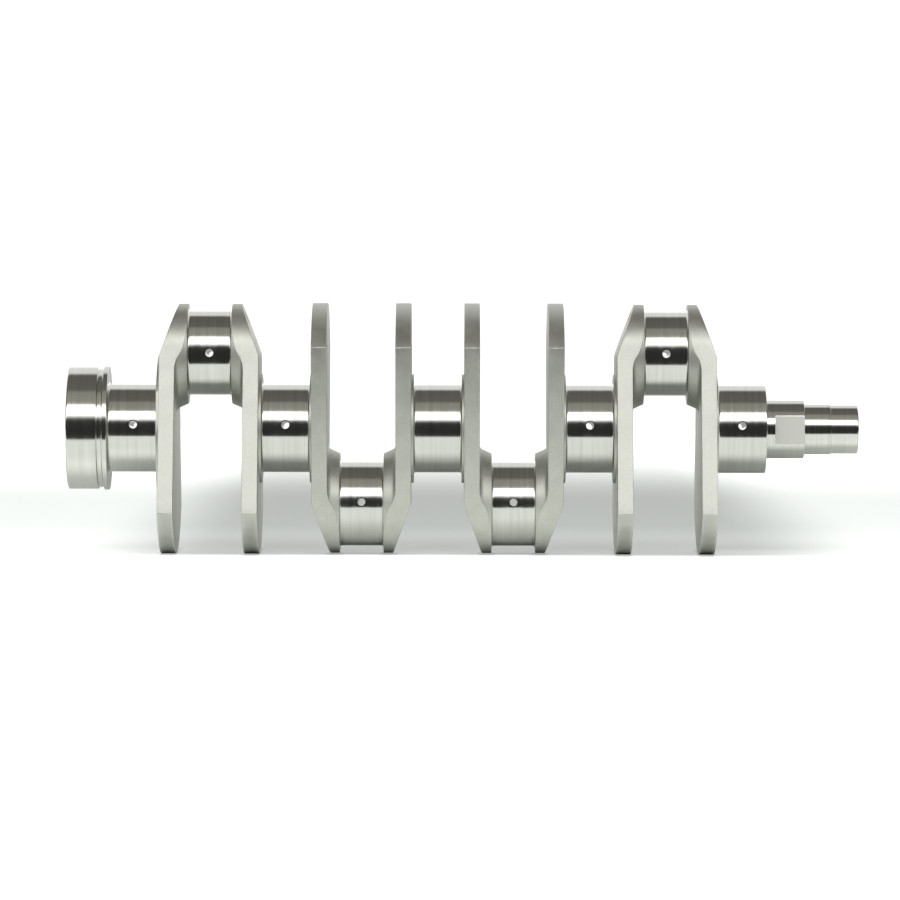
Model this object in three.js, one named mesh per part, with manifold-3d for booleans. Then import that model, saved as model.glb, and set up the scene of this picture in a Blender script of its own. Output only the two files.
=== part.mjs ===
// Crankshaft of an inline four-cylinder engine, machined from one steel billet.
// It is drawn here section by section, as the sections are named on the bench: the rear flange,
// five main journals, eight webs with their counterweights, four crankpins and the nose. The
// plugs that close the diagonal oilways are separate pieces.
//
// Millimetres. The shaft's axis is X, from the flywheel flange (-X) to the nose (+X), and the
// throws stand in the XZ plane: pins 1 and 4 up, pins 2 and 3 down. The origin is on the axis,
// half way along the shaft.
import * as THREE from "three";
import { mergeVertices } from "three/addons/utils/BufferGeometryUtils.js";
import Module from "manifold-3d";

const wasm = await Module();
wasm.setup();

// ---- Driving dimensions ----
const BORE_PITCH = 90.5; // from one cylinder, or one main journal, to the next
const STROKE = 90;
const MAIN_R = 26.2;
const PIN_R = 25;
const PINS_UP = [true, false, false, true]; // the throws, from the flange to the nose

// Along the shaft, measured from the middle of a crankpin.
const COLLAR_FACE = 13; // the faces that the connecting rod runs between
const WEB_INNER = 20.25;
const WEB_OUTER = 29.5;
const SHOULDER_FACE = 31; // beside a main journal

// The web's outline, square to the shaft.
const COUNTERWEIGHT_R = 75;
const CORNER_HALF_WIDTH = 56.8; // where the counterweight's arc meets the flanks
const PIN_END_R = 32; // round end of the web
const PIN_END_DROP = 2.6; // from the pin's axis towards the shaft's, to the round end's centre
const SHOULDER_R = 32.5;
const REAR_SHOULDER_R = 44; // on the first web, beside the flange's main journal
const COLLAR_R = 30.4; // at the collar's face
const COLLAR_TAPER = THREE.MathUtils.degToRad(24);
const COVE_R = 3.75; // hollow sweep from the tapered collar out to the web
const RELIEF_START = 44; // the web's outer face is cut back from here to the pin end
const RELIEF_ANGLE = THREE.MathUtils.degToRad(19.5);

const FILLET_R = 1.3; // at both ends of every journal
const EDGE_BREAK = 0.8;

// Along the shaft, measured from the middle main journal.
const REAR_FACE = -220.5;
const SEAL_LAND_END = -202.5;
const GROOVE_END = -199;
const FLANGE_FRONT = -196.25;
const MAIN_5_FRONT = 195.75;
const FLATS_START = 201;
const DRIVE_END = 218.75;
const STUB_STEP = 234.5;
const NOSE_END = 251;

// Across the shaft's two ends.
const SEAL_LAND_R = 36.5;
const GROOVE_R = 35.4;
const OIL_LIP_R = 37;
const PILOT_BORE_R = 15;
const PILOT_BORE_DEPTH = 14;
const FLYWHEEL_BOLTS = 8;
const BOLT_CIRCLE_R = 27;
const BOLT_HOLE_R = 4.4;
const BOLT_HOLE_DEPTH = 16;
const DRIVE_R = 17.4;
const DRIVE_FLAT = 15.25; // from the axis to each of the two flats
const STUB_R = 15;
const STUB_END_R = 14.5;
const NOSE_BORE_R = 6.2;
const NOSE_BORE_DEPTH = 32;

// Oilways.
const OIL_HOLE_R = 2.5;
const OIL_HOLE_TILT = THREE.MathUtils.degToRad(2.8); // the cross drillings, from level
const MAIN_HOLE_OFFSET = 1.5; // a main's cross drilling passes this far above its axis
const PIN_HOLE_OFFSET = 0.8; // a pin's passes this far inside its own, towards the main axis
const OILWAY_FEEDS = [0, 1, 3, 4]; // the main journal, counted from 0, that feeds each pin
const PLUG_R = 3.7;
const PLUG_LENGTH = 7;
const PLUG_SOCKET_R = 2.3; // from its axis to a corner of the hexagon
const PLUG_SOCKET_DEPTH = 3;
const PLUG_RECESS = 2.3; // from the oilway's mouth down to the plug
const PLUG_CLEARANCE = 0.3;

const THROW = STROKE / 2;
const CORNER_DROP = Math.sqrt(COUNTERWEIGHT_R ** 2 - CORNER_HALF_WIDTH ** 2);
const PIN_END_Z = THROW - PIN_END_DROP;
const CORNER_TO_END = Math.hypot(CORNER_HALF_WIDTH, CORNER_DROP + PIN_END_Z);
// The flanks run from the corners to the pin end and touch it, leaning in by this angle.
const FLANK_LEAN =
  Math.acos(PIN_END_R / CORNER_TO_END) - Math.atan2(CORNER_DROP + PIN_END_Z, CORNER_HALF_WIDTH);
const MIDDLE_MAIN_X = -(REAR_FACE + NOSE_END) / 2;
const OILWAY_ANGLE = Math.atan2(THROW, BORE_PITCH / 2);

// Steps round a full circle.
const ROUND = 32;
const SMALL_ROUND = 12;

const groundSteel = new THREE.MeshStandardMaterial({
  color: 0xd5d3d0,
  roughness: 0.16,
  metalness: 1,
});
const blastedSteel = new THREE.MeshStandardMaterial({
  color: 0xaaa8a2,
  roughness: 0.46,
  metalness: 0.9,
});
const plugSteel = new THREE.MeshStandardMaterial({
  color: 0x55534f,
  roughness: 0.5,
  metalness: 0.9,
});

// ---- Solids ----
function solidOf(geometry) {
  const flat = geometry.index ? geometry.toNonIndexed() : geometry;
  const bare = new THREE.BufferGeometry();
  bare.setAttribute("position", flat.getAttribute("position"));
  const merged = mergeVertices(bare, 1e-4);
  return new wasm.Manifold(
    new wasm.Mesh({
      numProp: 3,
      vertProperties: merged.getAttribute("position").array,
      triVerts: new Uint32Array(merged.index.array),
    }),
  );
}

function meshOf(solid, name, material) {
  const { vertProperties, triVerts } = solid.getMesh();
  const geometry = new THREE.BufferGeometry();
  geometry.setAttribute("position", new THREE.BufferAttribute(vertProperties, 3));
  geometry.setIndex(new THREE.BufferAttribute(triVerts, 1));
  geometry.computeVertexNormals();
  const mesh = new THREE.Mesh(geometry, material);
  mesh.name = name;
  return mesh;
}

// A solid turned about an axis parallel to X, from [x, radius] pairs that start and end on it.
function turned(profile, height = 0, steps = ROUND) {
  const points = profile.map(([x, radius]) => new THREE.Vector2(radius, x));
  const geometry = new THREE.LatheGeometry(points, steps).rotateZ(-Math.PI / 2);
  return solidOf(geometry.translate(0, 0, height));
}

// A flat shape drawn in Y and Z, pushed along X from one place to another.
function pushedAlongX(shape, from, to) {
  const geometry = new THREE.ExtrudeGeometry(shape, {
    depth: to - from,
    bevelEnabled: false,
    curveSegments: 1,
  });
  const yzx = new THREE.Matrix4().makeBasis(
    new THREE.Vector3(0, 1, 0),
    new THREE.Vector3(0, 0, 1),
    new THREE.Vector3(1, 0, 0),
  );
  return solidOf(geometry.applyMatrix4(yzx).translate(from, 0, 0));
}

function block(from, to) {
  const size = to.map((high, axis) => high - from[axis]);
  const middle = to.map((high, axis) => (high + from[axis]) / 2);
  return solidOf(new THREE.BoxGeometry(...size).translate(...middle));
}

// A round rod from one point to another.
function rod(start, end, radius, steps = SMALL_ROUND) {
  const along = end.clone().sub(start);
  const geometry = new THREE.CylinderGeometry(radius, radius, along.length(), steps);
  const turn = new THREE.Quaternion().setFromUnitVectors(
    new THREE.Vector3(0, 1, 0),
    along.clone().normalize(),
  );
  const middle = start.clone().addScaledVector(along, 0.5);
  geometry.applyQuaternion(turn).translate(middle.x, middle.y, middle.z);
  return solidOf(geometry);
}

const cutAll = (solid, cutters) => cutters.reduce((left, cutter) => left.subtract(cutter), solid);

function arcPoints(centre, radius, from, to, steps) {
  return Array.from({ length: steps + 1 }, (_, i) => {
    const angle = from + ((to - from) * i) / steps;
    return [centre[0] + radius * Math.cos(angle), centre[1] + radius * Math.sin(angle)];
  });
}

// ---- Journals ----
// [x, radius] pairs of a journal from one end face to the other, with its fillets.
function journalProfile(from, to, radius) {
  const hollow = (x, start, end) => arcPoints([x, radius + FILLET_R], FILLET_R, start, end, 2);
  return [
    [from, 0],
    ...hollow(from + FILLET_R, Math.PI, 1.5 * Math.PI),
    ...hollow(to - FILLET_R, -0.5 * Math.PI, 0),
    [to, 0],
  ];
}

// A drilling straight through a journal from side to side.
function crossDrilling(height) {
  const reach = 40;
  const end = new THREE.Vector3(0, Math.cos(OIL_HOLE_TILT), -Math.sin(OIL_HOLE_TILT));
  end.multiplyScalar(reach);
  const start = end.clone().negate();
  end.z += height;
  start.z += height;
  return rod(start, end, OIL_HOLE_R);
}

// ---- Diagonal oilways, in a throw's own frame: main axis at Z 0, pin at Z THROW ----
// `side` is +1 where the oilway runs towards the nose and -1 where it runs to the flange.
const oilwayPoint = (side, distance) =>
  new THREE.Vector3(
    side * (distance * Math.cos(OILWAY_ANGLE) - BORE_PITCH / 2),
    0,
    distance * Math.sin(OILWAY_ANGLE),
  );

// The oilway comes out on the far web's relieved face.
function oilwayMouth() {
  const slope = Math.tan(RELIEF_ANGLE);
  const reach = WEB_OUTER + BORE_PITCH / 2 + RELIEF_START * slope;
  return reach / (Math.cos(OILWAY_ANGLE) + slope * Math.sin(OILWAY_ANGLE));
}

function oilway(side) {
  const mouth = oilwayMouth();
  const seat = mouth - PLUG_RECESS - PLUG_LENGTH - PLUG_CLEARANCE;
  const bore = rod(oilwayPoint(side, 0), oilwayPoint(side, mouth + 5), OIL_HOLE_R);
  const plugSeat = rod(
    oilwayPoint(side, seat),
    oilwayPoint(side, mouth + 5),
    PLUG_R + PLUG_CLEARANCE,
  );
  return bore.add(plugSeat);
}

function makePlug(side, name) {
  const plug = rod(new THREE.Vector3(), new THREE.Vector3(0, 0, PLUG_LENGTH), PLUG_R);
  const socket = rod(
    new THREE.Vector3(0, 0, PLUG_LENGTH - PLUG_SOCKET_DEPTH),
    new THREE.Vector3(0, 0, PLUG_LENGTH + 1),
    PLUG_SOCKET_R,
    6,
  );
  const mesh = meshOf(plug.subtract(socket), name, plugSteel);
  mesh.position.copy(oilwayPoint(side, oilwayMouth() - PLUG_RECESS - PLUG_LENGTH));
  mesh.rotation.y = side * (Math.PI / 2 - OILWAY_ANGLE);
  return mesh;
}

// ---- Webs, in the throw's frame ----
// Seen along the shaft: a round pin end, two straight flanks and the counterweight's arc.
function webOutline() {
  const corner = Math.acos(CORNER_HALF_WIDTH / COUNTERWEIGHT_R);
  const points = [
    ...arcPoints([0, PIN_END_Z], PIN_END_R, FLANK_LEAN, Math.PI - FLANK_LEAN, 16),
    ...arcPoints([0, 0], COUNTERWEIGHT_R, Math.PI + corner, 2 * Math.PI - corner, 18),
  ];
  return new THREE.Shape(points.map(([y, z]) => new THREE.Vector2(y, z)));
}

// What stands outside the relieved face of the web, towards the pin end.
function reliefCut(side) {
  const far = 90;
  const shape = new THREE.Shape();
  shape.moveTo(WEB_OUTER, RELIEF_START);
  shape.lineTo(WEB_OUTER - (far - RELIEF_START) * Math.tan(RELIEF_ANGLE), far);
  shape.lineTo(far, far);
  shape.lineTo(far, RELIEF_START);
  const geometry = new THREE.ExtrudeGeometry(shape, { depth: 2 * far, bevelEnabled: false });
  geometry.translate(0, 0, -far).rotateX(Math.PI / 2);
  return solidOf(side > 0 ? geometry : geometry.rotateZ(Math.PI));
}

// The pin's collar: a tapered wall, then a hollow sweep out to the web.
function collar(side) {
  const coveStart = WEB_INNER - COVE_R * (1 - Math.sin(COLLAR_TAPER));
  const startR = COLLAR_R + (coveStart - COLLAR_FACE) * Math.tan(COLLAR_TAPER);
  const coveEndR = startR + COVE_R * Math.cos(COLLAR_TAPER);
  const middle = [WEB_INNER - COVE_R, coveEndR];
  const cove = arcPoints(middle, COVE_R, 1.5 * Math.PI + COLLAR_TAPER, 2 * Math.PI, 5);
  const inWeb = WEB_INNER + 3;
  const profile = [
    [COLLAR_FACE, 0],
    [COLLAR_FACE, COLLAR_R],
    ...cove,
    [inWeb, coveEndR],
    [inWeb, 0],
  ];
  return side > 0 ? turned(profile, THROW) : turned(mirrored(profile), THROW);
}

const mirrored = (profile) => profile.map(([x, radius]) => [-x, radius]).reverse();

function shoulder(side, radius) {
  const profile = [
    [WEB_OUTER - 2, 0],
    [WEB_OUTER - 2, radius],
    [SHOULDER_FACE, radius],
    [SHOULDER_FACE, 0],
  ];
  return turned(side > 0 ? profile : mirrored(profile));
}

function webSolid(side, shoulderR) {
  const spanX = (near, far) => (side > 0 ? [near, far] : [-far, -near]);
  const blank = pushedAlongX(webOutline(), ...spanX(COLLAR_FACE, SHOULDER_FACE));
  const [low, high] = spanX(WEB_INNER, WEB_OUTER);
  const plate = block([low, -80, -80], [high, 80, 80]);
  const body = plate.add(collar(side)).add(shoulder(side, shoulderR));
  return blank.intersect(body).subtract(reliefCut(side));
}

// ---- One throw: web, crankpin, web, and the plug of its oilway ----
function makeThrow(index) {
  const number = index + 1;
  const group = new THREE.Group();
  group.position.x = (index - 1.5) * BORE_PITCH;
  group.rotation.x = PINS_UP[index] ? 0 : Math.PI;

  const feedSide = index < 2 ? 1 : -1;
  const drilling = oilway(feedSide);
  for (const side of [-1, 1]) {
    const isFirst = index === 0 && side < 0;
    const web = webSolid(side, isFirst ? REAR_SHOULDER_R : SHOULDER_R).subtract(drilling);
    group.add(meshOf(web, `web_${2 * number - (side < 0 ? 1 : 0)}`, blastedSteel));
  }

  const pin = turned(journalProfile(-COLLAR_FACE, COLLAR_FACE, PIN_R), THROW);
  const drilled = cutAll(pin, [drilling, crossDrilling(THROW - PIN_HOLE_OFFSET)]);
  group.add(meshOf(drilled, `crankpin_${number}`, groundSteel));
  group.add(makePlug(feedSide, `oilway_plug_${number}`));
  return group;
}

// ---- Main journals ----
function mainEnds(index) {
  const beside = BORE_PITCH / 2 - SHOULDER_FACE;
  const centre = (index - 2) * BORE_PITCH;
  if (index === 0) return [FLANGE_FRONT - centre, beside];
  if (index === 4) return [-beside, MAIN_5_FRONT - centre];
  return [-beside, beside];
}

// The last main runs out at the nose with a broken edge in place of a fillet.
function mainProfile(index) {
  const [from, to] = mainEnds(index);
  const profile = journalProfile(from, to, MAIN_R);
  if (index < 4) return profile;
  const openEnd = [
    [to - EDGE_BREAK, MAIN_R],
    [to, MAIN_R - EDGE_BREAK],
    [to, 0],
  ];
  return [...profile.slice(0, 4), ...openEnd];
}

// The start of the oilway that leaves this main, in the main's own frame.
function oilwayFrom(index) {
  const fed = OILWAY_FEEDS.indexOf(index);
  const toNose = fed < 2 ? 1 : -1;
  const up = PINS_UP[fed] ? 1 : -1;
  const reach = 60;
  const end = new THREE.Vector3(
    toNose * reach * Math.cos(OILWAY_ANGLE),
    0,
    up * reach * Math.sin(OILWAY_ANGLE),
  );
  return rod(new THREE.Vector3(), end, OIL_HOLE_R);
}

function makeMain(index) {
  const fed = OILWAY_FEEDS.includes(index);
  const cutters = fed ? [crossDrilling(MAIN_HOLE_OFFSET), oilwayFrom(index)] : [];
  const journal = cutAll(turned(mainProfile(index)), cutters);
  const mesh = meshOf(journal, `main_journal_${index + 1}`, groundSteel);
  mesh.position.x = (index - 2) * BORE_PITCH;
  return mesh;
}

// ---- Rear flange ----
function makeRearFlange() {
  const flange = turned([
    [REAR_FACE, 0],
    [REAR_FACE, SEAL_LAND_R - EDGE_BREAK],
    [REAR_FACE + EDGE_BREAK, SEAL_LAND_R],
    [SEAL_LAND_END, SEAL_LAND_R],
    [SEAL_LAND_END, GROOVE_R],
    [GROOVE_END, GROOVE_R],
    [GROOVE_END, OIL_LIP_R],
    [FLANGE_FRONT, OIL_LIP_R],
    [FLANGE_FRONT, 0],
  ]);
  const outside = REAR_FACE - 5;
  const pilotBore = rod(
    new THREE.Vector3(outside, 0, 0),
    new THREE.Vector3(REAR_FACE + PILOT_BORE_DEPTH, 0, 0),
    PILOT_BORE_R,
    ROUND,
  );
  const boltHoles = Array.from({ length: FLYWHEEL_BOLTS }, (_, i) => {
    const angle = (2 * Math.PI * i) / FLYWHEEL_BOLTS;
    const [y, z] = [BOLT_CIRCLE_R * Math.cos(angle), BOLT_CIRCLE_R * Math.sin(angle)];
    const start = new THREE.Vector3(outside, y, z);
    const end = new THREE.Vector3(REAR_FACE + BOLT_HOLE_DEPTH, y, z);
    return rod(start, end, BOLT_HOLE_R);
  });
  return meshOf(cutAll(flange, [pilotBore, ...boltHoles]), "rear_flange", groundSteel);
}

// ---- Nose ----
function makeNoseDrive() {
  const step = turned([
    [MAIN_5_FRONT, 0],
    [MAIN_5_FRONT, DRIVE_R],
    [DRIVE_END - EDGE_BREAK, DRIVE_R],
    [DRIVE_END, DRIVE_R - EDGE_BREAK],
    [DRIVE_END, 0],
  ]);
  const flats = [-1, 1].map((side) => {
    const [near, far] = side < 0 ? [-30, -DRIVE_FLAT] : [DRIVE_FLAT, 30];
    return block([FLATS_START, near, -30], [DRIVE_END + 5, far, 30]);
  });
  return meshOf(cutAll(step, flats), "nose_drive", groundSteel);
}

function makeNoseStub() {
  const stub = turned([
    [DRIVE_END, 0],
    [DRIVE_END, STUB_R],
    [STUB_STEP, STUB_R],
    [STUB_STEP, STUB_END_R],
    [NOSE_END - EDGE_BREAK, STUB_END_R],
    [NOSE_END, STUB_END_R - EDGE_BREAK],
    [NOSE_END, 0],
  ]);
  const bore = rod(
    new THREE.Vector3(NOSE_END - NOSE_BORE_DEPTH, 0, 0),
    new THREE.Vector3(NOSE_END + 5, 0, 0),
    NOSE_BORE_R,
    2 * SMALL_ROUND,
  );
  return meshOf(stub.subtract(bore), "nose_stub", groundSteel);
}

// ---- Assembly ----
const crankshaft = new THREE.Group();
crankshaft.position.x = MIDDLE_MAIN_X;
crankshaft.add(makeRearFlange());
for (let index = 0; index < 5; index += 1) crankshaft.add(makeMain(index));
for (let index = 0; index < 4; index += 1) crankshaft.add(makeThrow(index));
crankshaft.add(makeNoseDrive(), makeNoseStub());

export default crankshaft;
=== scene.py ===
"""Looks of a four-throw crankshaft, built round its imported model.

Metres. The shaft's axis is X, from the flywheel flange at -X to the nose at +X, and +Z is up,
towards crankpins 1 and 4. Every surface is a grid of points worked out as whole arrays: a profile
turned about an axis, or the web's faces drawn out along rays. Seams and poles close because points
at one place become one.
"""

import math

import bpy
import numpy as np
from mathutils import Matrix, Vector


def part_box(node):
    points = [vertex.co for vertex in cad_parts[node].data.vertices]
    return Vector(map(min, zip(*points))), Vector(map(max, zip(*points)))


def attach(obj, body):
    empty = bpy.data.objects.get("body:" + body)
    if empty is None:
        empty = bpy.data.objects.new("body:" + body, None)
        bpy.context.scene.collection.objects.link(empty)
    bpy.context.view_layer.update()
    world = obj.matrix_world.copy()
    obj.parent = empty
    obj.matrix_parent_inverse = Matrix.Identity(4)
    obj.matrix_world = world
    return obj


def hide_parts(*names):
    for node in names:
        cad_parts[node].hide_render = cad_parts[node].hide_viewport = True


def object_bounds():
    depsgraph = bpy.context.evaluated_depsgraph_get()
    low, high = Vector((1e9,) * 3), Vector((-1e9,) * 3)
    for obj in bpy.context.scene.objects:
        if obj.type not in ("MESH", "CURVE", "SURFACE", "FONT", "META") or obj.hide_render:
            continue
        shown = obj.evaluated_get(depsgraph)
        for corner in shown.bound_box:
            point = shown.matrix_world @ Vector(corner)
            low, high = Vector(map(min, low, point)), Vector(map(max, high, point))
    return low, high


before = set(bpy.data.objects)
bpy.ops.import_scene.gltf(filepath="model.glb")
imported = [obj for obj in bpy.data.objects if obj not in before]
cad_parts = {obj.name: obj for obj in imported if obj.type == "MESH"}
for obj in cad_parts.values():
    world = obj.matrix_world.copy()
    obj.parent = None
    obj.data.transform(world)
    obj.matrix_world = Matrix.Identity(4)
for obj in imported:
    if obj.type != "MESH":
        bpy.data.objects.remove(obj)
cad_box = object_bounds()

MM = 0.001

# ---- Cross-section details that the CAD boxes don't give ----
FILLET = 1.3 * MM  # at both ends of a journal
COLLAR_HEIGHT = 7.25 * MM  # from the web's inner face to the collar's face
WEB_THICKNESS = 9.25 * MM
COLLAR_RADIUS = 30.4 * MM  # at its face
COLLAR_TAPER = math.radians(24)
COVE_RADIUS = 3.75 * MM
PIN_END_RADIUS = 32 * MM
SHOULDER_RADIUS = 32.5 * MM
REAR_SHOULDER_RADIUS = 44 * MM  # on the first web, beside the flange's main journal
RELIEF_START = 44 * MM  # above the shaft's axis, on the pin's side
RELIEF_SLOPE = math.tan(math.radians(19.5))
EDGE = 0.35 * MM  # broken edge all round a web
CORNER = 0.5 * MM  # softened corner between a flank and the counterweight's arc
SINK = 0.4 * MM  # how far a journal's end goes into the web beside it

SEAL_LAND_RADIUS = 36.5 * MM
SEAL_LAND_LENGTH = 18 * MM
GROOVE_RADIUS = 35.4 * MM
GROOVE_LENGTH = 3.5 * MM
PILOT_RADIUS = 15 * MM
PILOT_DEPTH = 14 * MM
BOLT_COUNT = 8
BOLT_CIRCLE = 27 * MM
BOLT_RADIUS = 4.4 * MM
BOLT_DEPTH = 16 * MM
BOLT_CHAMFER = 0.7 * MM
BOLT_WINDOW = 6.2 * MM  # how far the window round a bolt hole reaches in and out
BOLT_WINDOW_ROWS = 10
FLATS_FROM_SHOULDER = 5.25 * MM
FLAT_DISTANCE = 15.25 * MM
STUB_STEP_LENGTH = 15.75 * MM
STUB_END_RADIUS = 14.5 * MM
NOSE_BORE_RADIUS = 6.2 * MM
NOSE_BORE_DEPTH = 32 * MM

OIL_TILT = math.radians(2.8)
MAIN_HOLE_OFFSET = 1.5 * MM
PIN_HOLE_OFFSET = 0.8 * MM
OIL_BORE = 2.35 * MM
OIL_MOUTH = 2.85 * MM
OIL_CHAMFER = 0.9 * MM
PLUG_RADIUS = 3.7 * MM
PLUG_RECESS = 2.3 * MM
PLUG_LENGTH = 7 * MM
SOCKET_APOTHEM = 2.3 * MM
SOCKET_DEPTH = 3 * MM
SEAT_RADIUS = 4.0 * MM
SEAT_CHAMFER = 0.5 * MM
SEAT_CLEARANCE = 0.3 * MM  # under the plug

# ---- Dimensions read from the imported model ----
MAINS = [f"main_journal_{n}" for n in range(1, 6)]
PINS = [f"crankpin_{n}" for n in range(1, 5)]


def box(node):
    """A CAD node's lowest and highest corner, as two arrays."""
    low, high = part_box(node)
    return np.array(low), np.array(high)


def middle(node):
    low, high = box(node)
    return (low + high) / 2


def half_size(node):
    low, high = box(node)
    return (high - low) / 2


PIN_X = [middle(pin)[0] for pin in PINS]
PIN_Z = [middle(pin)[2] for pin in PINS]
MIDDLE_MAIN_X = middle("main_journal_3")[0]
PITCH = PIN_X[1] - PIN_X[0]
THROW = abs(PIN_Z[0])
MAIN_RADIUS = half_size("main_journal_3")[1] - FILLET
PIN_RADIUS = half_size("crankpin_1")[1] - FILLET
COLLAR_FACE = half_size("crankpin_1")[0]
OUTER_LEVEL = COLLAR_FACE + COLLAR_HEIGHT + WEB_THICKNESS  # a web's outer face, from its pin
WEB_LOW, WEB_HIGH = box("web_1")
COUNTERWEIGHT_RADIUS = -WEB_LOW[2]
PIN_END_Z = WEB_HIGH[2] - PIN_END_RADIUS
HALF_WIDTH = WEB_HIGH[1]

ROUND = 192  # columns round a turned surface
FIRST_ANGLE = -math.pi / 2


# ---- Surfaces ----
def closed_grid(points):
    """The quads of a (rows, columns, 3) grid whose last column meets its first."""
    rows, columns = points.shape[:2]
    index = np.arange(rows * columns).reshape(rows, columns)
    near, far = index[:-1], index[1:]
    return np.stack([near, np.roll(near, -1, 1), np.roll(far, -1, 1), far], axis=2)


def blocks_of(points, windows=()):
    """A grid's points and quads, without the quads inside each (row, row, column, column)."""
    quads = closed_grid(points)
    keep = np.ones(quads.shape[:2], bool)
    for row_0, row_1, column_0, column_1 in windows:
        keep[row_0:row_1, column_0:column_1] = False
    return points.reshape(-1, 3), quads[keep]


def rim_of(points, window):
    """The loop of grid points round a window, in the order that its quads turn."""
    row_0, row_1, column_0, column_1 = window
    return np.concatenate([
        points[row_0, column_0:column_1],
        points[row_0:row_1, column_1],
        points[row_1, column_0 + 1 : column_1 + 1][::-1],
        points[row_0 + 1 : row_1 + 1, column_0][::-1],
    ])


def joined(blocks):
    """Several (points, quads) blocks as one."""
    starts = np.cumsum([0] + [len(points) for points, _ in blocks[:-1]])
    points = np.concatenate([points for points, _ in blocks])
    quads = np.concatenate([quads + start for (_, quads), start in zip(blocks, starts)])
    return points, quads


def faced_out(points, quads):
    """Turns every quad over if the volume inside them, summed over their triangles, is negative."""
    a, b, c, d = (points[quads[:, k]] for k in range(4))
    volume = np.einsum("ij,ij->", a, np.cross(b, c)) + np.einsum("ij,ij->", a, np.cross(c, d))
    return quads if volume > 0 else quads[:, ::-1]


def make_piece(name, blocks, material, nodes, sharp=32):
    """Makes one mesh of the blocks. Points that no quad uses are left out and points closer than
    10 nanometres become one. A quad with two corners at one place becomes a triangle, and one that
    has shrunk to a line is left out."""
    points, quads = joined(blocks)
    quads = faced_out(points, quads)
    used, quads = np.unique(quads, return_inverse=True)
    points, quads = points[used], quads.reshape(-1, 4)
    places = np.round(points * 1e8).astype(np.int64)
    _, kept, place = np.unique(places, axis=0, return_index=True, return_inverse=True)
    corners = place.reshape(-1)[quads]
    new_corner = corners != np.roll(corners, 1, axis=1)
    folded = (corners[:, 0] == corners[:, 2]) | (corners[:, 1] == corners[:, 3])
    sides = np.where(folded, 0, new_corner.sum(axis=1))
    triangles = corners[sides == 3][new_corner[sides == 3]].reshape(-1, 3)
    faces = corners[sides == 4].tolist() + triangles.tolist()
    mesh = bpy.data.meshes.new(name)
    mesh.from_pydata(points[kept].tolist(), [], faces)
    mesh.shade_smooth()
    mesh.set_sharp_from_angle(angle=math.radians(sharp))
    mesh.materials.append(material)
    piece = bpy.data.objects.new(name, mesh)
    bpy.context.scene.collection.objects.link(piece)
    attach(piece, "root")
    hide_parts(*nodes)
    return piece


def rounded(corners, steps=5):
    """A profile of (x, r) rows through (x, r, radius) corners. Each corner with a radius becomes
    an arc that touches the lines on both sides, with one more row just outside each end."""
    rows = []
    for k, (x, r, radius) in enumerate(corners):
        here = np.array([x, r])
        if radius == 0:
            rows.append(here[None])
            continue
        back = np.array(corners[k - 1][:2]) - here
        ahead = np.array(corners[k + 1][:2]) - here
        back, ahead = back / np.linalg.norm(back), ahead / np.linalg.norm(ahead)
        half = math.acos(np.clip(back @ ahead, -1, 1)) / 2
        reach = radius / math.tan(half)
        inward = (back + ahead) / np.linalg.norm(back + ahead)
        centre = here + inward * radius / math.sin(half)
        start, end = here + back * reach - centre, here + ahead * reach - centre
        sweep = math.pi - 2 * half
        t = np.linspace(0, 1, steps + 1)[:, None]
        arc = centre + (np.sin((1 - t) * sweep) * start + np.sin(t * sweep) * end) / math.sin(sweep)
        margin = 0.06 * MM
        before = here + back * (reach + margin)
        after = here + ahead * (reach + margin)
        rows.append(np.concatenate([before[None], arc, after[None]]))
    return np.concatenate(rows)


def turned(profile, height=0.0, angles=None):
    """A profile's (x, r) rows turned about the line at this height along X. Angle 0 points to -Y
    and a quarter turn points up."""
    if angles is None:
        angles = FIRST_ANGLE + np.arange(ROUND) * 2 * math.pi / ROUND
    x, r = profile[:, :1], profile[:, 1:]
    across = np.ones_like(angles)
    return np.stack([x * across, -r * np.cos(angles), height + r * np.sin(angles)], axis=2)


def nearest_row(profile, x, r):
    """The profile's row nearest a place, by the sum of the two distances."""
    return int(np.argmin(np.abs(profile[:, 0] - x) + np.abs(profile[:, 1] - r)))


# ---- Drilled holes ----
DRILL_POINT = 0.6  # the cone in a drilled floor: its depth over the bore's radius


def hole_frame(axis):
    """Two directions square to a hole's axis: the first along X where it can be."""
    axis = np.asarray(axis, float) / np.linalg.norm(axis)
    first = np.array([1.0, 0, 0]) if abs(axis[0]) < 0.5 else np.array([0, 1.0, 0])
    first = first - axis * (first @ axis)
    first /= np.linalg.norm(first)
    return axis, first, np.cross(axis, first)


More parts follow.
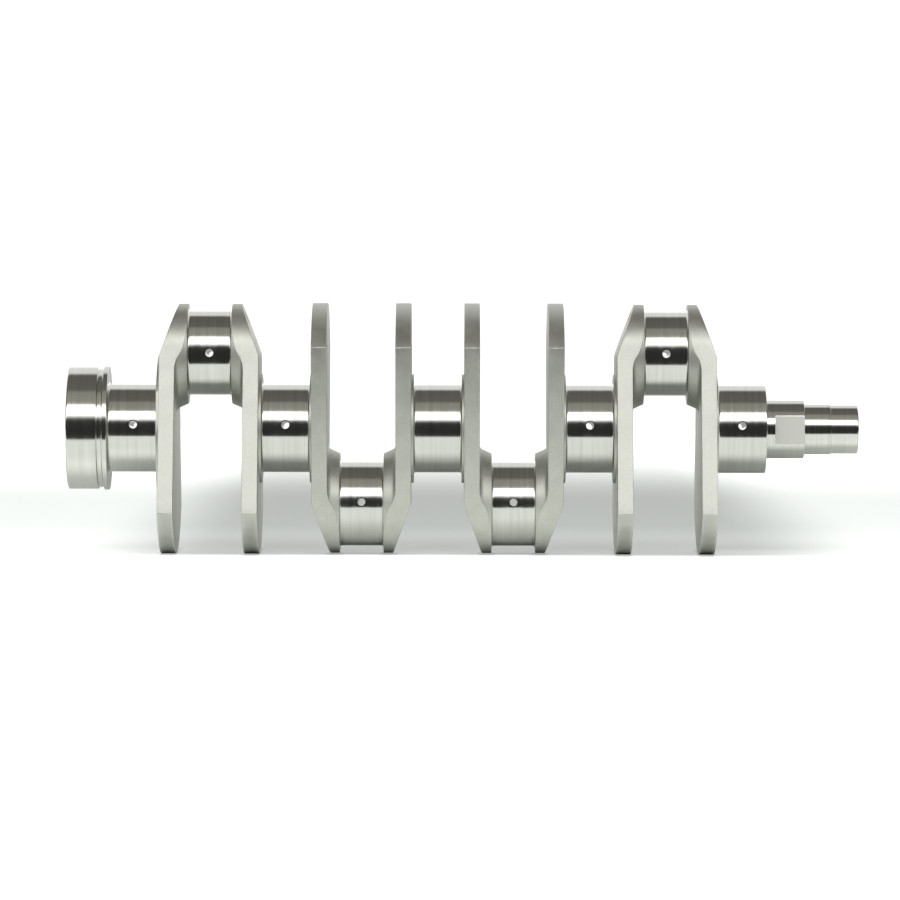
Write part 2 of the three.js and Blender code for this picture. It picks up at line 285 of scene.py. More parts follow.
def drilled(rim, centre, axis, lift, mouth, bore, chamfer, ends, floor=False):
    """Rings from the rim of a window down into a round hole.

    Across the hole, each ring slides from the rim to the mouth's circle, and `lift` gives how far
    along the axis the surface is above `centre` at that place. Then come the chamfer, the bore
    down to each depth in `ends`, measured from `centre`, and a cone to a point for a floor."""
    axis, first, second = hole_frame(axis)
    offset = rim - centre
    across = np.stack([offset @ first, offset @ second], axis=1)
    ahead = np.roll(across, -1, axis=0)
    area = np.sum(across[:, 0] * ahead[:, 1] - across[:, 1] * ahead[:, 0])
    start = np.argmin(np.abs(np.arctan2(across[:, 1], across[:, 0])))
    across, rim = np.roll(across, -start, axis=0), np.roll(rim, -start, axis=0)
    angle = math.copysign(1, area) * np.arange(len(rim)) * 2 * math.pi / len(rim)
    circle = np.stack([np.cos(angle), np.sin(angle)], axis=1)

    def ring(flat, along):
        along = np.broadcast_to(along, flat.shape[:1])[:, None]
        return centre + flat[:, :1] * first + flat[:, 1:] * second + along * axis

    rings = [rim]
    for share in (0.3, 0.6, 0.85, 0.97, 1.0):
        flat = (1 - share) * across + share * mouth * circle
        rings.append(ring(flat, lift(flat[:, 0], flat[:, 1])))
    wall = bore * circle
    level = lift(wall[:, 0], wall[:, 1]) - chamfer
    rings.append(ring(wall, level))
    rings.append(ring(wall, level - 0.1 * MM))
    rings += [ring(wall, depth) for depth in ends]
    if floor:
        tip = ends[-1] - bore * DRILL_POINT
        rings.append(ring(0 * wall, tip))
    return blocks_of(np.stack(rings))


# ---- Journals and pins ----
WINDOW_X = 6 * MM  # half of a window's length along the journal
WINDOW_ROWS = 12
WINDOW_COLUMNS = 7  # each side of the hole


def journal_blocks(low, high, radius, axis_z, hole_x=None, hole_offset=0.0, open_end=False):
    """A journal: a cylinder with a fillet at each end that runs out on the face beside it, its
    ends sunk into the neighbours, and a drilling right through from front to back."""
    wall = radius + FILLET
    corners = [(low - SINK, 0, 0), (low - SINK, wall, 0), (low, wall, 0)]
    t = np.linspace(0, math.pi / 2, 9)[1:]
    fillet = [(FILLET * (1 - math.cos(a)), wall - FILLET * math.sin(a)) for a in t]
    corners += [(low + x, r, 0) for x, r in fillet]
    if hole_x is not None:
        corners += [(x, radius, 0) for x in hole_x + np.linspace(-1, 1, WINDOW_ROWS + 1) * WINDOW_X]
    if open_end:
        corners += [(high, radius, 0.6 * MM), (high, 0, 0)]
    else:
        corners += [(high - x, r, 0) for x, r in fillet[::-1]]
        corners += [(high, wall, 0), (high + SINK, wall, 0), (high + SINK, 0, 0)]
    profile = rounded(corners)
    points = turned(profile, axis_z)
    if hole_x is None:
        return [blocks_of(points)]

    first_row = nearest_row(profile, hole_x - WINDOW_X, radius)
    centre = np.array([hole_x, 0, axis_z + hole_offset])
    windows, holes = [], []
    for direction in (-1, 1):
        axis = np.array([0, direction * math.cos(OIL_TILT), -direction * math.sin(OIL_TILT)])
        _, _, second = hole_frame(axis)
        sideways = hole_offset * second[2]
        reach = math.sqrt(radius**2 - sideways**2) - hole_offset * axis[2]
        mouth = hole_offset + reach * axis[2]
        angle = math.atan2(mouth, -reach * axis[1])
        column = round((angle - FIRST_ANGLE) / (2 * math.pi) * ROUND) % ROUND
        columns = (column - WINDOW_COLUMNS, column + WINDOW_COLUMNS)
        window = (first_row, first_row + WINDOW_ROWS, *columns)
        windows.append(window)
        along = hole_offset * axis[2]

        def lift(_, across, sideways=sideways, along=along):
            return np.sqrt(radius**2 - (across + sideways) ** 2) - along

        rim = rim_of(points, window)
        holes.append(drilled(rim, centre, axis, lift, OIL_MOUTH, OIL_BORE, OIL_CHAMFER, [0.0]))
    return [blocks_of(points, windows)] + holes


# ---- Webs ----
SLOPE_ROWS = 21  # from the web's rim to the crease of the relief
SEAT_WINDOW = 5.6 * MM  # how far the window round a plug reaches up and down the relief
SEAT_COLUMNS = 5  # each side of the plug


def web_outline():
    """The web's outline, drawn in by EDGE, and its outward directions: the counterweight's arc
    about the shaft, a small rounded corner, the straight flank, which touches the pin end, and
    the pin end's arc; then the same again, mirrored."""
    drop = math.sqrt(COUNTERWEIGHT_RADIUS**2 - HALF_WIDTH**2)
    reach = math.hypot(HALF_WIDTH, drop + PIN_END_Z)
    lean = math.acos(PIN_END_RADIUS / reach) - math.atan2(drop + PIN_END_Z, HALF_WIDTH)
    normal = np.array([math.cos(lean), math.sin(lean)])
    along = np.array([-math.sin(lean), math.cos(lean)])
    end_centre = np.array([0, PIN_END_Z])
    end_radius = PIN_END_RADIUS - EDGE
    arc_radius = COUNTERWEIGHT_RADIUS - EDGE
    touch = end_centre + end_radius * normal
    level = touch @ normal - CORNER
    run = -math.sqrt((arc_radius - CORNER) ** 2 - level**2)
    corner_centre = level * normal + run * along
    corner_angle = math.atan2(corner_centre[1], corner_centre[0])
    corner = corner_centre + CORNER * normal

    arc = np.linspace(-math.pi / 2, corner_angle, 25)
    directions = [np.stack([np.cos(arc), np.sin(arc)], axis=1)]
    places = [arc_radius * directions[0]]
    sweep = np.linspace(corner_angle, lean, 7)[1:]
    directions.append(np.stack([np.cos(sweep), np.sin(sweep)], axis=1))
    places.append(corner_centre + CORNER * directions[1])

    length = np.linalg.norm(touch - corner)
    crease = length - (touch[1] - RELIEF_START) / along[1]
    beside_collar = length - 32 * MM
    coarse, fine = np.linspace(0, beside_collar, 12)[1:], np.linspace(beside_collar, length, 41)
    steps = np.unique(np.concatenate([coarse, fine, [crease]]))
    places.append(corner + steps[:, None] * along)
    directions.append(np.repeat(normal[None], len(steps), axis=0))

    end = np.linspace(lean, math.pi / 2, 41)[1:]
    directions.append(np.stack([np.cos(end), np.sin(end)], axis=1))
    places.append(end_centre + end_radius * directions[-1])

    places, directions = np.concatenate(places), np.concatenate(directions)
    mirror = np.array([-1, 1])
    places = np.concatenate([places, places[-2:0:-1] * mirror])
    directions = np.concatenate([directions, directions[-2:0:-1] * mirror])
    return places, directions


def inner_profile():
    """(radius about the pin, distance from the pin's middle) rows of the web's inner side: the
    collar's face and edge, its tapered wall, the hollow sweep, and the web's flat face."""
    web_face = COLLAR_FACE + COLLAR_HEIGHT
    edge = 0.3 * MM
    t = np.linspace(0, math.pi / 2 - COLLAR_TAPER, 4)
    rim_r = COLLAR_RADIUS - edge + edge * np.sin(t)
    rim_x = COLLAR_FACE + edge * (1 - np.cos(t))
    sweep_start = web_face - COVE_RADIUS * (1 - math.sin(COLLAR_TAPER))
    wall_r = rim_r[-1] + (sweep_start - rim_x[-1]) * math.tan(COLLAR_TAPER)
    t = np.linspace(COLLAR_TAPER, math.pi / 2, 12)
    sweep_r = wall_r + COVE_RADIUS * (math.cos(COLLAR_TAPER) - np.cos(t))
    sweep_x = web_face - COVE_RADIUS * (1 - np.sin(t))
    share = np.linspace(0, 1, 6)[1:-1]
    wall = [rim_r[-1] + share * (wall_r - rim_r[-1]), rim_x[-1] + share * (sweep_start - rim_x[-1])]
    face_r = [0, PIN_RADIUS, rim_r[0] - 0.1 * MM]
    radius = np.concatenate([face_r, rim_r, wall[0], sweep_r, [sweep_r[-1] + 0.1 * MM]])
    depth = np.concatenate([[COLLAR_FACE] * 3, rim_x, wall[1], sweep_x, [web_face]])
    return radius, depth


def web_points(shoulder_face, shoulder_radius):
    """The web in its throw's frame, on the nose side, as (rows, columns, 3): rows leave the pin's
    axis along the inner side, cross the rim, and come back along the outer side to the shaft's
    axis. Returns the grid and the first row of the relieved face."""
    places, directions = web_outline()
    pin = np.array([0, THROW])

    ray = places - pin
    reach = np.linalg.norm(ray, axis=1)
    radius, depth = inner_profile()
    level = np.interp(reach, radius, depth)
    share = np.minimum(radius[:, None], reach) / reach
    inner_x = np.where(radius[:, None] < reach, depth[:, None], level)
    last_r = np.minimum(radius[-1], reach)
    spread = np.linspace(0, 1, 6)[1:, None]
    plate_share = (last_r + (reach - last_r) * spread) / reach
    share = np.concatenate([share, plate_share])
    inner_x = np.concatenate([inner_x, np.broadcast_to(level, plate_share.shape)])
    inner = np.stack([inner_x, *(pin + share[..., None] * ray).transpose(2, 0, 1)], axis=2)

    outer_x = OUTER_LEVEL - np.maximum(places[:, 1] - RELIEF_START, 0) * RELIEF_SLOPE
    bend = np.linspace(0, math.pi / 2, 5)[1:, None]

    def edge(start, sign, turn):
        x = start + sign * EDGE * (1 - np.cos(turn))
        flat = places + EDGE * np.sin(turn)[..., None] * directions
        return np.stack([x, *flat.transpose(2, 0, 1)], axis=2)

    near_edge = edge(level, 1, bend)
    far_edge = edge(outer_x, -1, bend[::-1])
    rise = np.linspace(0, 1, 6)[1:-1, None]
    wall_x = level + EDGE + (outer_x - level - 2 * EDGE) * rise
    rim = places + EDGE * directions
    wall = np.stack([wall_x, *np.broadcast_to(rim.T[:, None], (2, *wall_x.shape))], axis=2)

    shaft_reach = np.linalg.norm(places, axis=1)
    upward = places[:, 1] / shaft_reach
    relieved = places[:, 1] > RELIEF_START
    crease = np.where(relieved, RELIEF_START / np.where(relieved, upward, 1), shaft_reach)
    slope_share = np.linspace(0, 1, SLOPE_ROWS)[:, None]
    slope_r = shaft_reach + (crease - shaft_reach) * slope_share
    disc_r = np.minimum(shoulder_radius, shaft_reach)
    plate_r = crease + (disc_r - crease) * np.linspace(0, 1, 6)[1:, None]
    outer_r = np.concatenate([slope_r, plate_r])
    height = outer_r * upward
    outer_depth = OUTER_LEVEL - np.maximum(height - RELIEF_START, 0) * RELIEF_SLOPE

    edge_r = 0.3 * MM
    t = np.linspace(0, math.pi / 2, 4)
    rounding = disc_r - edge_r * (1 - np.cos(t))[:, None]
    shoulder_r = [rounding, np.full((1, len(places)), MAIN_RADIUS), np.zeros((1, len(places)))]
    shoulder_x = np.concatenate([shoulder_face - edge_r * (1 - np.sin(t)), [shoulder_face] * 2])
    outer_r = np.concatenate([outer_r, *shoulder_r])
    shoulder_depth = np.broadcast_to(shoulder_x[:, None], (len(shoulder_x), len(places)))
    outer_depth = np.concatenate([outer_depth, shoulder_depth])
    flat = (outer_r / shaft_reach)[..., None] * places
    outer = np.stack([outer_depth, *flat.transpose(2, 0, 1)], axis=2)
    points = np.concatenate([inner, near_edge, wall, far_edge, outer])
    return points, len(inner) + len(near_edge) + len(wall) + len(far_edge)


def oilway_mouth():
    """Where the oilway from the main's centre through the pin's centre meets the relieved face,
    and its direction, in the throw's frame on the nose side."""
    along = np.array([PITCH / 2, 0, THROW])
    along /= np.linalg.norm(along)
    gap = OUTER_LEVEL + PITCH / 2 + RELIEF_START * RELIEF_SLOPE
    reach = gap / (along[0] + RELIEF_SLOPE * along[2])
    return reach * along - np.array([PITCH / 2, 0, 0]), along


def placed(points, pin_x, side, up):
    """From a throw's own frame to the part's: turned half a turn about Z for the flange side, and
    half a turn about X for a pin that hangs down."""
    turn = np.array([side, side, 1]) * np.array([1, up, up])
    return points * turn + np.array([pin_x, 0, 0])


def plug_points(mouth, along):
    """A grub screw in the oilway's threaded seat, as a grid: a chamfered cylinder with a hexagonal
    socket, whose radius at each angle is in proportion to one over the cosine of the angle from
    a flat's middle."""
    axis, first, second = hole_frame(along)
    columns = 48
    angles = np.arange(columns) * 2 * math.pi / columns
    hexagon = math.cos(math.pi / 6) / np.cos((angles + math.pi / 6) % (math.pi / 3) - math.pi / 6)
    chamfer, tip = 0.5 * MM, 0.6 * MM
    socket_floor = PLUG_LENGTH - SOCKET_DEPTH
    depth = [0, 0, PLUG_LENGTH - chamfer, PLUG_LENGTH]
    depth = np.array(depth + [PLUG_LENGTH, socket_floor, socket_floor - tip])[:, None, None]
    radii = np.array([0, PLUG_RADIUS, PLUG_RADIUS, PLUG_RADIUS - chamfer])[:, None]
    sockets = np.array([SOCKET_APOTHEM, SOCKET_APOTHEM, 0])[:, None]
    radius = np.concatenate([radii * np.ones(columns), sockets * hexagon])[..., None]
    turning = np.cos(angles)[:, None] * first + np.sin(angles)[:, None] * second
    base = mouth - axis * (PLUG_RECESS + PLUG_LENGTH)
    return base + depth * axis + radius * turning


# ---- Materials ----
class Nodes:
    """A node tree: `add` makes a node, and sets or links its inputs by name or by number."""

    def __init__(self, tree):
        self.nodes, self.links = tree.nodes, tree.links

    def add(self, kind, inputs=None, **settings):
        node = self.nodes.new(kind)
        for key, value in settings.items():
            setattr(node, key, value)
        for key, value in (inputs or {}).items():
            if isinstance(value, bpy.types.NodeSocket):
                self.links.new(value, node.inputs[key])
            else:
                node.inputs[key].default_value = value
        return node

    def maths(self, operation, *values):
        node = self.add("ShaderNodeMath", dict(enumerate(values)), operation=operation)
        return node.outputs[0]

    def average(self, one, other):
        return self.maths("MULTIPLY", self.maths("ADD", one, other), 0.5)

    def mapped(self, value, low, high, start=0.3, end=0.7):
        """A value between start and end, moved to lie between low and high."""
        ends = {"From Min": start, "From Max": end, "To Min": low, "To Max": high}
        return self.add("ShaderNodeMapRange", {"Value": value, **ends}).outputs["Result"]

    def eased(self, value, start, end, height=1.0):
        """Goes smoothly from 0 where the value is start to this height where it is end."""
        ends = {"From Min": start, "From Max": end, "To Max": height}
        kind = "SMOOTHSTEP"
        node = self.add("ShaderNodeMapRange", {"Value": value, **ends}, interpolation_type=kind)
        return node.outputs["Result"]

    def mixed(self, share, first, second, kind="RGBA"):
        inputs = {"Factor": share, "A": first, "B": second}
        return self.add("ShaderNodeMix", inputs, data_type=kind).outputs["Result"]


class Finish(Nodes):
    """A metal or a painted surface, patterned on the part's own coordinates."""

    def __init__(self, name, colour, roughness, metallic=1.0):
        self.material = bpy.data.materials.new(name)
        self.material.use_nodes = True
        super().__init__(self.material.node_tree)
        self.shader = self.nodes["Principled BSDF"]
        self.shader.inputs["Base Color"].default_value = (*colour, 1)
        self.shader.inputs["Roughness"].default_value = roughness
        self.shader.inputs["Metallic"].default_value = metallic
        self.place = self.nodes.new("ShaderNodeTexCoord").outputs["Object"]

    def stretched(self, scale):
        """The place, multiplied by a scale for each axis."""
        return self.add("ShaderNodeMapping", {"Vector": self.place, "Scale": scale}).outputs[0]

    def noise(self, where, scale, detail=3.0):
        inputs = {"Vector": where, "Scale": scale, "Detail": detail}
        return self.add("ShaderNodeTexNoise", inputs).outputs["Fac"]

    def bump(self, height, strength, distance, normal=None):
        inputs = {"Height": height, "Strength": strength, "Distance": distance}
        if normal is not None:
            inputs["Normal"] = normal
        return self.add("ShaderNodeBump", inputs).outputs["Normal"]

    def use(self, socket, value):
        self.links.new(value, self.shader.inputs[socket])

    def tint(self, share, dark, light):
        self.use("Base Color", self.mixed(share, (*dark, 1), (*light, 1)))


def ground_finish(name):
    """Ground and polished bearing steel: very fine lines round the shaft, a little uneven."""
    finish = Finish(name, (0.72, 0.71, 0.69), 0.15)
    lines = finish.noise(finish.stretched((2600, 30, 30)), 1.0, 2.0)
    bands = finish.noise(finish.stretched((420, 14, 14)), 1.0, 3.0)
    both = finish.average(lines, bands)
    finish.tint(finish.mapped(both, 0, 1), (0.62, 0.62, 0.575), (0.74, 0.74, 0.70))
    finish.use("Roughness", finish.mapped(both, 0.09, 0.17))
    finish.use("Normal", finish.bump(both, 0.025, 0.02 * MM))
    return finish


def satin_steel():
    """Milled and blasted steel: a speckled tint with soft clouds, a fine grain, and faint cutter
    lines that run level across the flanks."""
    finish = Finish("satin_steel", (0.6, 0.6, 0.56), 0.42)
    grain = finish.noise(finish.place, 5200, 2.0)
    clouds = finish.noise(finish.place, 90, 4.0)
    cutter = finish.noise(finish.stretched((25, 25, 1500)), 1.0, 2.0)
    speckle = finish.noise(finish.place, 1400, 2.0)
    shade = finish.mapped(finish.average(clouds, speckle), 0, 1, 0.35, 0.65)
    finish.tint(shade, (0.55, 0.555, 0.505), (0.67, 0.675, 0.62))
    finish.use("Roughness", finish.mapped(clouds, 0.44, 0.53))
    lines = finish.bump(cutter, 0.07, 0.03 * MM)
    finish.use("Normal", finish.bump(grain, 0.12, 0.02 * MM, lines))
    return finish.material


def flatted_steel(flats_start, half_height):
    """Ground steel with two flats milled matt: past `flats_start` along the shaft, between this
    height and the same depth below its axis."""
    finish = ground_finish("flatted_steel")
    shader = finish.shader
    parts = finish.add("ShaderNodeSeparateXYZ", {0: finish.place}).outputs
    past = finish.maths("GREATER_THAN", parts["X"], flats_start)
    between = finish.maths("LESS_THAN", finish.maths("ABSOLUTE", parts["Z"]), half_height)
    flat = finish.maths("MULTIPLY", past, between)
    for socket, matt, kind in (
        ("Base Color", (0.6, 0.6, 0.56, 1), "RGBA"),
        ("Roughness", 0.6, "FLOAT"),
        ("Metallic", 0.25, "FLOAT"),
    ):
        source = shader.inputs[socket]
        ground = source.links[0].from_socket if source.is_linked else source.default_value
        finish.use(socket, finish.mixed(flat, ground, matt, kind))
    cutter = finish.noise(finish.stretched((900, 40, 40)), 1.0, 3.0)
    under = shader.inputs["Normal"].links[0].from_socket
    finish.use("Normal", finish.bump(cutter, 0.1, 0.02 * MM, under))
    return finish.material


def oxide_steel():
    """Blackened plug screws, rubbed a little brighter in places."""
    finish = Finish("oxide_steel", (0.06, 0.06, 0.058), 0.4, 0.8)
    wear = finish.noise(finish.place, 900, 3.0)
    finish.tint(finish.mapped(wear, 0, 1), (0.03, 0.03, 0.03), (0.12, 0.115, 0.11))
    finish.use("Roughness", finish.mapped(wear, 0.32, 0.5))
    return finish.material


# ---- Pieces ----
def make_mains(material):
    """The five main journals. The middle one has no drilling, and the last ends in the open."""
    centres = MIDDLE_MAIN_X + np.arange(-2, 3) * PITCH
    for index, node in enumerate(MAINS):
        low, high = box(node)
        blocks = journal_blocks(
            low[0],
            high[0],
            MAIN_RADIUS,
            0.0,
            hole_x=None if index == 2 else centres[index],
            hole_offset=MAIN_HOLE_OFFSET,
            open_end=index == 4,
        )
        make_piece(f"{node}_ground", blocks, material, [node])


def make_pins(material):
    """The four crankpins, each with a drilling a little nearer the shaft than its own axis."""
    for node, x, z in zip(PINS, PIN_X, PIN_Z):
        blocks = journal_blocks(
            x - COLLAR_FACE,
            x + COLLAR_FACE,
            PIN_RADIUS,
            z,
            hole_x=x,
            hole_offset=-math.copysign(PIN_HOLE_OFFSET, z),
        )
        make_piece(f"{node}_ground", blocks, material, [node])


def make_throws(web_material, plug_material):
    """The eight webs, and the plug that closes each oilway on the web past its pin."""
    mouth, along = oilway_mouth()
    axis, one, two = hole_frame(along)
    slope_normal = np.array([1, 0, RELIEF_SLOPE]) / math.hypot(1, RELIEF_SLOPE)

    def lift(a, b):
        """How far along the oilway the sloping face is, at (a, b) across it."""
        return -(a * (one @ slope_normal) + b * (two @ slope_normal)) / (axis @ slope_normal)

    for index, (pin_x, pin_z) in enumerate(zip(PIN_X, PIN_Z)):
        up = math.copysign(1, pin_z)
        plugged = 1 if index < 2 else -1
        for side in (-1, 1):
            node = f"web_{2 * index + (1 if side < 0 else 2)}"
            low, high = box(node)
            shoulder_face = (high[0] if side > 0 else -low[0]) - side * pin_x
            shoulder_radius = REAR_SHOULDER_RADIUS if node == "web_1" else SHOULDER_RADIUS
            points, slope_row = web_points(shoulder_face, shoulder_radius)
            windows, holes = [], []
            if side == plugged:
                top = points.shape[1] // 2
                heights = points[slope_row : slope_row + SLOPE_ROWS, top, 2] - mouth[2]
                first = slope_row + int(np.argmin(np.abs(heights - SEAT_WINDOW)))
                last = slope_row + int(np.argmin(np.abs(heights + SEAT_WINDOW)))
                window = (first, last, top - SEAT_COLUMNS, top + SEAT_COLUMNS)
                windows.append(window)
                rim = rim_of(points, window)
                sizes = (SEAT_RADIUS + SEAT_CHAMFER, SEAT_RADIUS, SEAT_CHAMFER)
                depth = -(PLUG_RECESS + PLUG_LENGTH + SEAT_CLEARANCE)
                holes.append(drilled(rim, mouth, along, lift, *sizes, [depth], True))
                plug = [blocks_of(placed(plug_points(mouth, along), pin_x, side, up))]
                name = f"oilway_plug_{index + 1}"
                make_piece(f"{name}_screw", plug, plug_material, [name])
            blocks = [blocks_of(points, windows)] + holes
            blocks = [(placed(block, pin_x, side, up), quads) for block, quads in blocks]
            make_piece(f"{node}_milled", blocks, web_material, [node])


def flat_face(a, _):
    """The height of a face square to the hole in it: none, at any place."""
    return 0 * a


def make_flange(material):
    """The flange: pilot bore, rear face with its ring of threaded holes, seal land, groove, lip."""
    low, high = box("rear_flange")
    rear, front = low[0], high[0]
    lip_radius = high[2]
    land_end = rear + SEAL_LAND_LENGTH
    groove_end = land_end + GROOVE_LENGTH
    window_r = BOLT_CIRCLE + np.linspace(-1, 1, BOLT_WINDOW_ROWS + 1) * BOLT_WINDOW
    corners = [
        (rear + PILOT_DEPTH, 0, 0),
        (rear + PILOT_DEPTH, PILOT_RADIUS, 0.8 * MM),
        (rear + 1.0 * MM, PILOT_RADIUS, 0),
        (rear, PILOT_RADIUS + 1.0 * MM, 0),
        *[(rear, r, 0) for r in window_r],
        (rear, SEAL_LAND_RADIUS, 1.1 * MM),
        (land_end, SEAL_LAND_RADIUS, 0.4 * MM),
        (land_end + 0.4 * MM, GROOVE_RADIUS, 0.5 * MM),
        (groove_end - 0.5 * MM, GROOVE_RADIUS, 0.5 * MM),
        (groove_end, lip_radius, 0.3 * MM),
        (front, lip_radius, 0.35 * MM),
        (front, 0, 0),
    ]
    profile = rounded(corners)
    seam = FIRST_ANGLE + math.pi / BOLT_COUNT
    points = turned(profile, angles=seam + np.arange(ROUND) * 2 * math.pi / ROUND)
    first_row = nearest_row(profile, rear, window_r[0])
    windows, holes = [], []
    for angle in FIRST_ANGLE + np.arange(1, BOLT_COUNT + 1) * 2 * math.pi / BOLT_COUNT:
        column = round((angle - seam) / (2 * math.pi) * ROUND)
        columns = (column - WINDOW_COLUMNS, column + WINDOW_COLUMNS)
        window = (first_row, first_row + BOLT_WINDOW_ROWS, *columns)
        windows.append(window)
        centre = np.array([rear, -BOLT_CIRCLE * math.cos(angle), BOLT_CIRCLE * math.sin(angle)])
        rim, axis = rim_of(points, window), [-1, 0, 0]
        sizes = (BOLT_RADIUS + BOLT_CHAMFER, BOLT_RADIUS, BOLT_CHAMFER)
        holes.append(drilled(rim, centre, axis, flat_face, *sizes, [-BOLT_DEPTH], True))
    blocks = [blocks_of(points, windows)] + holes
    make_piece("rear_flange_ground", blocks, material, ["rear_flange"])


def make_nose(material):
    """The drive step, turned round and then cut to its two flats, and the stub past it."""
    low, high = box("nose_drive")
    shoulder, drive_end = low[0], high[0]
    drive_radius = high[2]
    flats = shoulder + FLATS_FROM_SHOULDER
    profile = rounded([
        (shoulder - SINK, 0, 0),
        (shoulder - SINK, drive_radius, 0),
        (flats - 0.02 * MM, drive_radius, 0),
        (flats, drive_radius, 0),
        (drive_end, drive_radius, 0.5 * MM),
        (drive_end, 0, 0),
    ])
    edge = math.acos(FLAT_DISTANCE / drive_radius)
    angles = FIRST_ANGLE + np.arange(ROUND) * 2 * math.pi / ROUND
    corners = [-edge, edge, math.pi - edge, math.pi + edge]
    angles = np.sort(np.concatenate([angles, corners]))
    points = turned(profile, angles=angles)
    uncut = 1.0  # a metre, which cuts nothing
    cut = FLAT_DISTANCE * profile[:, 1] / drive_radius
    limit = np.where(profile[:, 0] >= flats, cut, uncut)[:, None]
    points[..., 1] = np.clip(points[..., 1], -limit, limit)
    flatted = flatted_steel(flats, drive_radius * math.sin(edge))
    make_piece("nose_drive_ground", [blocks_of(points)], flatted, ["nose_drive"])

    low, high = box("nose_stub")
    start, end, radius = low[0], high[0], high[2]
    step = start + STUB_STEP_LENGTH
    profile = rounded([
        (start - SINK, 0, 0),
        (start - SINK, radius, 0),
        (step, radius, 0.3 * MM),
        (step + 0.1 * MM, STUB_END_RADIUS, 0),
        (end, STUB_END_RADIUS, 0.9 * MM),
        (end, NOSE_BORE_RADIUS + 0.8 * MM, 0),
        (end - 0.8 * MM, NOSE_BORE_RADIUS, 0),
        (end - NOSE_BORE_DEPTH, NOSE_BORE_RADIUS, 0),
        (end - NOSE_BORE_DEPTH - 3 * MM, 0, 0),
    ])
    stub = [blocks_of(turned(profile))]
    make_piece("nose_stub_ground", stub, material, ["nose_stub"])


# ---- Stage, light and camera ----
def warm_grey(value):
    return (value, value * 0.99, value * 0.9, 1)


def plain_grey(value):
    return (value, value, value, 1)


STUDIO_BANDS = [  # degrees up from level in front, over the top and down behind, and the light
    (-180, plain_grey(0.6)),
    (-120, plain_grey(0.6)),
    (-90, plain_grey(0.03)),
    (14, plain_grey(0.03)),
    (19, plain_grey(0.08)),
    (25, plain_grey(1.4)),
    (30, plain_grey(3.4)),
    (43, plain_grey(3.4)),
    (47, warm_grey(0.35)),
    (72, warm_grey(0.31)),
    (78, warm_grey(0.15)),
    (120, warm_grey(0.13)),
    (129, plain_grey(0.95)),
    (155, plain_grey(0.9)),
    (180, plain_grey(1.4)),
]
SIDE_WALL = plain_grey(0.06)
SIDE_WALL_FROM, SIDE_WALL_TO = 0.75, 0.97  # the part of a direction that runs along the shaft
BACKDROP = plain_grey(1.2)

TABLE_FRONT = -0.222  # how far in front of the shaft's axis the table ends
TABLE_REACH = 2.6  # to the back and to both sides
TABLE_COLOUR = (0.5, 0.525, 0.505)
GLOW_COLOUR = (0.975, 1.0, 0.98)
TABLE_MIDDLE = 12 * MM  # the grey part of the table is centred here, a little towards the nose
FRONT_GLOW = 0.6
END_GLOW = 0.25
CAMERA_GLOW = 0.14
# Shades on the table: where each starts, where it is full, and how much light it takes.
WIDE_SHADE = (85 * MM, 45 * MM, 0.42)
NARROW_SHADE = (22 * MM, 10 * MM, 0.5)
SHADE_EDGE = (6.5 * MM, 3 * MM)  # from the middle of a web
SHADE_END = 5 * MM  # past the last webs


def make_world():
    """A studio of level bands round the shaft: a direction's angle about X, from the front (0)
    over the top (90) to the back (180), picks a band. Directions near the shaft's axis see a
    dark side wall, and the camera sees white."""
    world = bpy.data.worlds.new("studio")
    bpy.context.scene.world = world
    world.use_nodes = True
    studio = Nodes(world.node_tree)
    direction = studio.add("ShaderNodeTexCoord").outputs["Generated"]
    parts = studio.add("ShaderNodeSeparateXYZ", {0: direction}).outputs
    angle = studio.maths("ARCTAN2", parts["Z"], studio.maths("MULTIPLY", parts["Y"], -1.0))
    ramp = studio.add("ShaderNodeValToRGB", {0: studio.mapped(angle, 0, 1, -math.pi, math.pi)})
    stops = ramp.color_ramp.elements
    while len(stops) < len(STUDIO_BANDS):
        stops.new(0.5)
    for stop, (degrees, colour) in zip(stops, STUDIO_BANDS):
        stop.position = (degrees + 180) / 360
        stop.color = colour
    share = studio.eased(studio.maths("ABSOLUTE", parts["X"]), SIDE_WALL_FROM, SIDE_WALL_TO)
    room = studio.mixed(share, ramp.outputs[0], SIDE_WALL)
    to_camera = studio.add("ShaderNodeLightPath").outputs["Is Camera Ray"]
    seen = studio.mixed(to_camera, room, BACKDROP)
    studio.links.new(seen, studio.nodes["Background"].inputs["Color"])


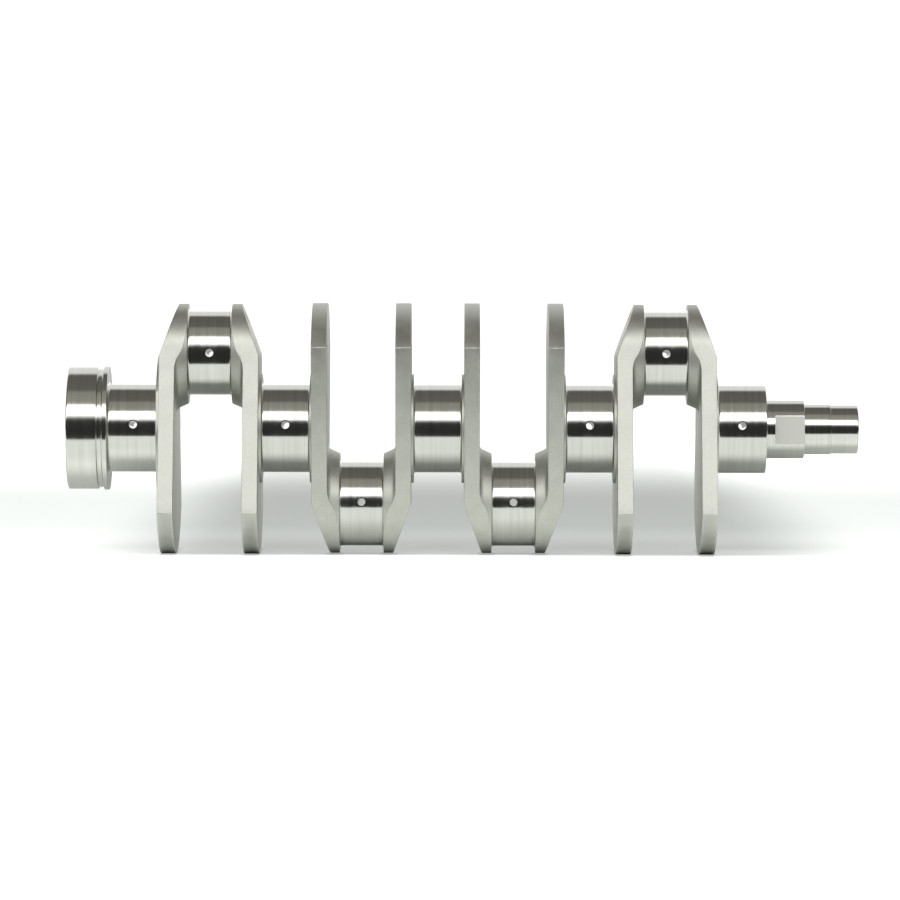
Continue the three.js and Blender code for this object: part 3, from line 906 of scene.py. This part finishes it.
def web_shade(finish, along, depth):
    """How much each web shades the table under it. The distance from the nearest pin's middle
    rises and falls once a pitch. A counterweight stands on its full width and shades a wide strip
    and a narrow one. A hanging pin end, between the outer throws, stands on the little that the
    relief leaves, and shades only the narrow strip."""
    web_middle = OUTER_LEVEL - WEB_THICKNESS / 2
    foot_level = OUTER_LEVEL - (WEB_HIGH[2] - RELIEF_START) * RELIEF_SLOPE
    foot_middle = (COLLAR_FACE + foot_level) / 2
    middle_x = (PIN_X[0] + PIN_X[-1]) / 2
    last_web = PIN_X[-1] - middle_x + OUTER_LEVEL

    from_middle = finish.maths("ABSOLUTE", finish.maths("SUBTRACT", along, middle_x))
    hanging = finish.maths("LESS_THAN", from_middle, PITCH)
    stand = finish.maths("MULTIPLY_ADD", hanging, foot_middle - web_middle, web_middle)
    from_pin = finish.maths("PINGPONG", finish.maths("SUBTRACT", along, PIN_X[0]), PITCH / 2)
    off_web = finish.maths("ABSOLUTE", finish.maths("SUBTRACT", from_pin, stand))
    before_end = finish.maths("SUBTRACT", last_web + SHADE_END, from_middle)
    near_web = finish.eased(off_web, *SHADE_EDGE)
    near_web = finish.maths("MULTIPLY", near_web, finish.eased(before_end, 0.0, SHADE_END))

    off_line = finish.maths("ABSOLUTE", depth)
    wide = finish.eased(off_line, *WIDE_SHADE)
    wide = finish.maths("MULTIPLY", wide, finish.maths("SUBTRACT", 1.0, hanging))
    strips = finish.maths("ADD", wide, finish.eased(off_line, *NARROW_SHADE))
    return finish.maths("MULTIPLY", near_web, strips)


def make_floor():
    """A pale table top under the counterweights. Its front and its ends glow, which lights the
    shaft from below, and each web shades it. The camera also sees its sides and its far part glow,
    so that to the camera the table is grey only close behind the shaft."""
    low, far = cad_box[0][2], TABLE_REACH
    mesh = bpy.data.meshes.new("floor")
    front_edge = [(-far, TABLE_FRONT, low), (far, TABLE_FRONT, low)]
    mesh.from_pydata(front_edge + [(far, far, low), (-far, far, low)], [], [(0, 1, 2, 3)])
    floor = bpy.data.objects.new("floor", mesh)
    bpy.context.scene.collection.objects.link(floor)

    finish = Finish("table_top", TABLE_COLOUR, 0.9, 0.0)
    finish.shader.inputs["Specular IOR Level"].default_value = 0.0
    finish.shader.inputs["Emission Color"].default_value = (*GLOW_COLOUR, 1)
    parts = finish.add("ShaderNodeSeparateXYZ", {0: finish.place}).outputs
    along, depth = parts["X"], parts["Y"]
    away = finish.maths("ABSOLUTE", finish.maths("SUBTRACT", along, TABLE_MIDDLE))

    seen = CAMERA_GLOW
    for value, start, end, height in (
        (depth, 0.4, 0.05, 0.2),  # towards the shaft from behind
        (depth, 0.0, -0.05, 0.4),  # in front
        (depth, 0.75, 2.0, 0.8),  # far behind
        (away, 0.14, 0.27, 0.2),  # at the sides
    ):
        seen = finish.maths("ADD", finish.eased(value, start, end, height), seen)
    to_camera = finish.add("ShaderNodeLightPath").outputs["Is Camera Ray"]
    seen = finish.maths("MULTIPLY", seen, to_camera)

    near_line = finish.eased(depth, -0.085, -0.02)
    ends = finish.maths("MULTIPLY", finish.eased(away, 0.16, 0.25, END_GLOW), near_line)
    lit = finish.maths("ADD", finish.eased(depth, 0.0, -0.057, FRONT_GLOW), ends)
    open_share = finish.maths("SUBTRACT", 1.0, web_shade(finish, along, depth))
    finish.tint(open_share, (0.0, 0.0, 0.0), TABLE_COLOUR)
    lit = finish.maths("MULTIPLY", lit, open_share)
    finish.use("Emission Strength", finish.maths("ADD", seen, lit))
    mesh.materials.append(finish.material)


def make_light():
    """A wide soft light above and in front, which shades the table behind the shaft."""
    data = bpy.data.lights.new("softbox", "AREA")
    data.shape = "RECTANGLE"
    data.size, data.size_y = 2.2, 0.8
    data.energy = 8
    light = bpy.data.objects.new("softbox", data)
    light.location = (0, -1.0, 0.9)
    below_shaft = Vector((0, 0, -0.05))
    light.rotation_euler = (below_shaft - light.location).to_track_quat("-Z", "Y").to_euler()
    light.visible_glossy = False
    bpy.context.scene.collection.objects.link(light)


def make_camera():
    """A long lens from just above the shaft's level."""
    distance, rise = 3.3, math.radians(1.85)
    aim = Vector((-7.9 * MM, 0, -12.8 * MM))
    data = bpy.data.cameras.new("camera")
    data.lens = 220.6
    data.sensor_width = 36
    camera = bpy.data.objects.new("camera", data)
    camera.location = aim + distance * Vector((0, -math.cos(rise), math.sin(rise)))
    turn = (aim - camera.location).to_track_quat("-Z", "Y").to_matrix().to_4x4()
    roll = math.radians(0.13)
    camera.rotation_euler = (turn @ turn.Rotation(roll, 4, "Z")).to_euler()
    bpy.context.scene.collection.objects.link(camera)
    bpy.context.scene.camera = camera


bpy.context.scene.view_settings.view_transform = "Standard"
make_camera()
make_world()
make_floor()
make_light()

ground = ground_finish("ground_steel").material
make_mains(ground)
make_pins(ground)
make_throws(satin_steel(), oxide_steel())
make_flange(ground)
make_nose(ground)
